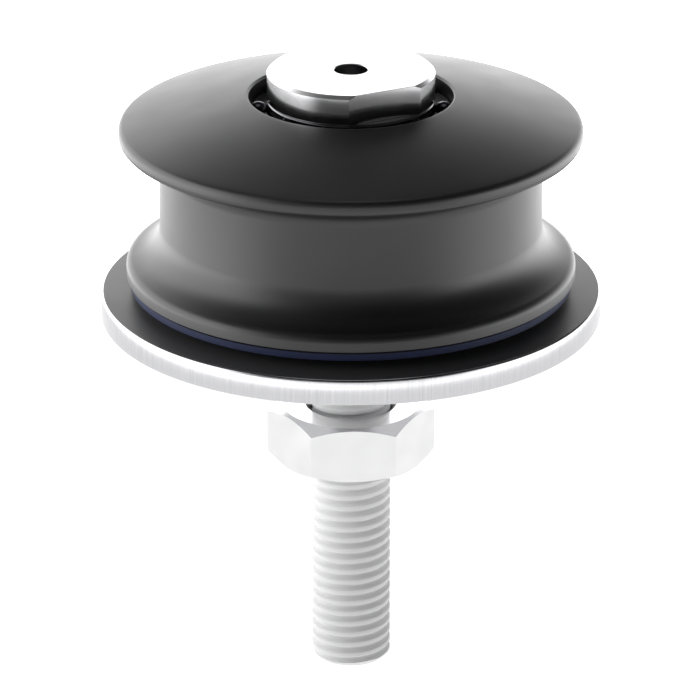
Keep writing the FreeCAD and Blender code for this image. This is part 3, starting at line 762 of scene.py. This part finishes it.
def paint_solids(finish):
    """Gives each solid that is still shown its finish."""
    finishes = {
        "wear_ring": "blue", "sleeve_bearing": "liner", "ball_cage": "cage", "roller_cage": "cage",
        "base_plate": "plate", "spindle": "head", "hex_nut": "nut", "sheave": "black",
    }
    for name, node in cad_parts.items():
        # Solids that are not listed take the dark bearing steel of painted shade.
        kind = "ball" if name.startswith("ball_") and name != "ball_cage" else finishes.get(name, "ground")
        paint(node, finish[kind])


def overhead_softbox():
    """A soft square lamp above the block, aimed at its plate."""
    data = bpy.data.lights.new("overhead_softbox", "AREA")
    data.shape = "SQUARE"
    data.size, data.energy = LAMP_SIZE, LAMP_POWER
    lamp = bpy.data.objects.new("overhead_softbox", data)
    lamp.location = LAMP_PLACE
    lamp.rotation_mode = "QUATERNION"
    lamp.rotation_quaternion = (-Vector(LAMP_PLACE)).to_track_quat("-Z", "Y")
    bpy.context.scene.collection.objects.link(lamp)


def ramp(tree, source, low, high, at_low, at_high):
    """Goes smoothly from at_low to at_high as the source goes from low to high."""
    node = tree.nodes.new("ShaderNodeMapRange")
    node.interpolation_type = "SMOOTHSTEP"
    for name, number in (("From Min", low), ("From Max", high)):
        node.inputs[name].default_value = number
    for name, number in (("To Min", at_low), ("To Max", at_high)):
        if isinstance(number, (int, float)):
            node.inputs[name].default_value = number
        else:
            tree.links.new(number, node.inputs[name])
    tree.links.new(source, node.inputs["Value"])
    return node.outputs[0]


def way_parts(tree, place):
    """A place's parts as seen from the axis: how far right and how far back it lies as
    shares of its distance, its height, and that distance."""
    parts = tree.nodes.new("ShaderNodeSeparateXYZ")
    tree.links.new(place, parts.inputs[0])
    x, y = parts.outputs["X"], parts.outputs["Y"]
    never_zero = 1e-6
    squares = math_node(tree, "ADD", math_node(tree, "MULTIPLY", x, x), math_node(tree, "MULTIPLY", y, y))
    reach = math_node(tree, "SQRT", math_node(tree, "ADD", squares, never_zero))
    return {
        "side": math_node(tree, "DIVIDE", x, reach),
        "depth": math_node(tree, "DIVIDE", y, reach),
        "height": parts.outputs["Z"],
        "reach": reach,
    }


def around_light(tree, way):
    """The studio's brightness round the block: more on the left and behind, up to a limit."""
    from_side = math_node(tree, "MULTIPLY", way["side"], -SIDE_LIGHT)
    from_behind = math_node(tree, "MULTIPLY", way["depth"], DEPTH_LIGHT)
    level = math_node(tree, "ADD", MEAN_LIGHT, math_node(tree, "ADD", from_side, from_behind))
    return math_node(tree, "MINIMUM", level, MOST_LIGHT)


def front_shade(tree, way):
    """The share of light that is left towards the dark front."""
    return ramp(tree, way["depth"], FRONT_FULL, FRONT_START, FRONT_SHARE, 1.0)


def make_floor():
    """A glowing pale floor at the stud's end, dimmer close to the block as a painted shadow of the block,
    and dimmer far in front.
    """
    mesh = bpy.data.meshes.new("floor")
    half, level = FLOOR_HALF, STUD_END * MM - FLOOR_GAP
    corners = [(-half, -half, level), (half, -half, level), (half, half, level), (-half, half, level)]
    mesh.from_pydata(corners, [], [(0, 1, 2, 3)])
    floor = bpy.data.objects.new("floor", mesh)
    bpy.context.scene.collection.objects.link(floor)
    material = bpy.data.materials.new("pale_floor")
    material.use_nodes = True
    tree = material.node_tree
    shader = tree.nodes["Principled BSDF"]
    shader.inputs["Base Color"].default_value = (0.05, 0.05, 0.05, 1)
    shader.inputs["Roughness"].default_value = 0.9
    shader.inputs["Specular IOR Level"].default_value = 0.0
    shader.inputs["Emission Color"].default_value = (1, 1, 1, 1)
    way = way_parts(tree, tree.nodes.new("ShaderNodeTexCoord").outputs["Object"])
    # Painted shadow: the floor's glow is dimmed close to the block.
    shadowed_glow = ramp(tree, way["reach"], NEAR_FLOOR, FAR_FLOOR, SHADOWED_FLOOR_LIGHT, around_light(tree, way))
    shaded = ramp(tree, way["reach"], FAR_FLOOR, FRONT_END, 1.0, front_shade(tree, way))
    tree.links.new(math_node(tree, "MULTIPLY", shadowed_glow, shaded), shader.inputs["Emission Strength"])
    mesh.materials.append(material)


def make_studio():
    """A bright studio with a dark ceiling and front, and a soft lamp above the block."""
    world = bpy.data.worlds.new("studio")
    world.use_nodes = True
    bpy.context.scene.world = world
    tree = world.node_tree
    back = tree.nodes["Background"]
    back.inputs["Color"].default_value = (1, 1, 1, 1)
    way = way_parts(tree, tree.nodes.new("ShaderNodeTexCoord").outputs["Generated"])
    to_right = math_node(tree, "MULTIPLY", way["side"], way["reach"])
    leaning = math_node(tree, "ADD", way["height"], math_node(tree, "MULTIPLY", to_right, CEILING_LEAN))
    ceiling = ramp(tree, leaning, CEILING_START, CEILING_FULL, 1.0, CEILING_LIGHT)
    walls = math_node(tree, "MULTIPLY", around_light(tree, way), WALL_SHARE)
    open_walls = math_node(tree, "MULTIPLY", walls, front_shade(tree, way))
    tree.links.new(math_node(tree, "MULTIPLY", open_walls, ceiling), back.inputs["Strength"])
    overhead_softbox()


def make_camera():
    """The photograph's own view."""
    data = bpy.data.cameras.new("camera")
    data.lens, data.sensor_width = CAMERA_LENS, SENSOR_WIDTH
    data.clip_start, data.clip_end = 0.05, 20.0
    camera = bpy.data.objects.new("camera", data)
    rise = math.radians(CAMERA_RISE)
    back = Vector((0, -math.cos(rise), math.sin(rise)))
    place = (Vector(CAMERA_TARGET) + back * CAMERA_DISTANCE) * MM
    turn = (-back).to_track_quat("-Z", "Y").to_matrix().to_4x4()
    camera.matrix_world = Matrix.Translation(place) @ turn
    bpy.context.scene.collection.objects.link(camera)
    bpy.context.scene.camera = camera


finish = make_materials()
make_pieces(finish)
paint_solids(finish)
make_floor()
make_studio()
make_camera()
bpy.context.scene.view_settings.view_transform = "Standard"
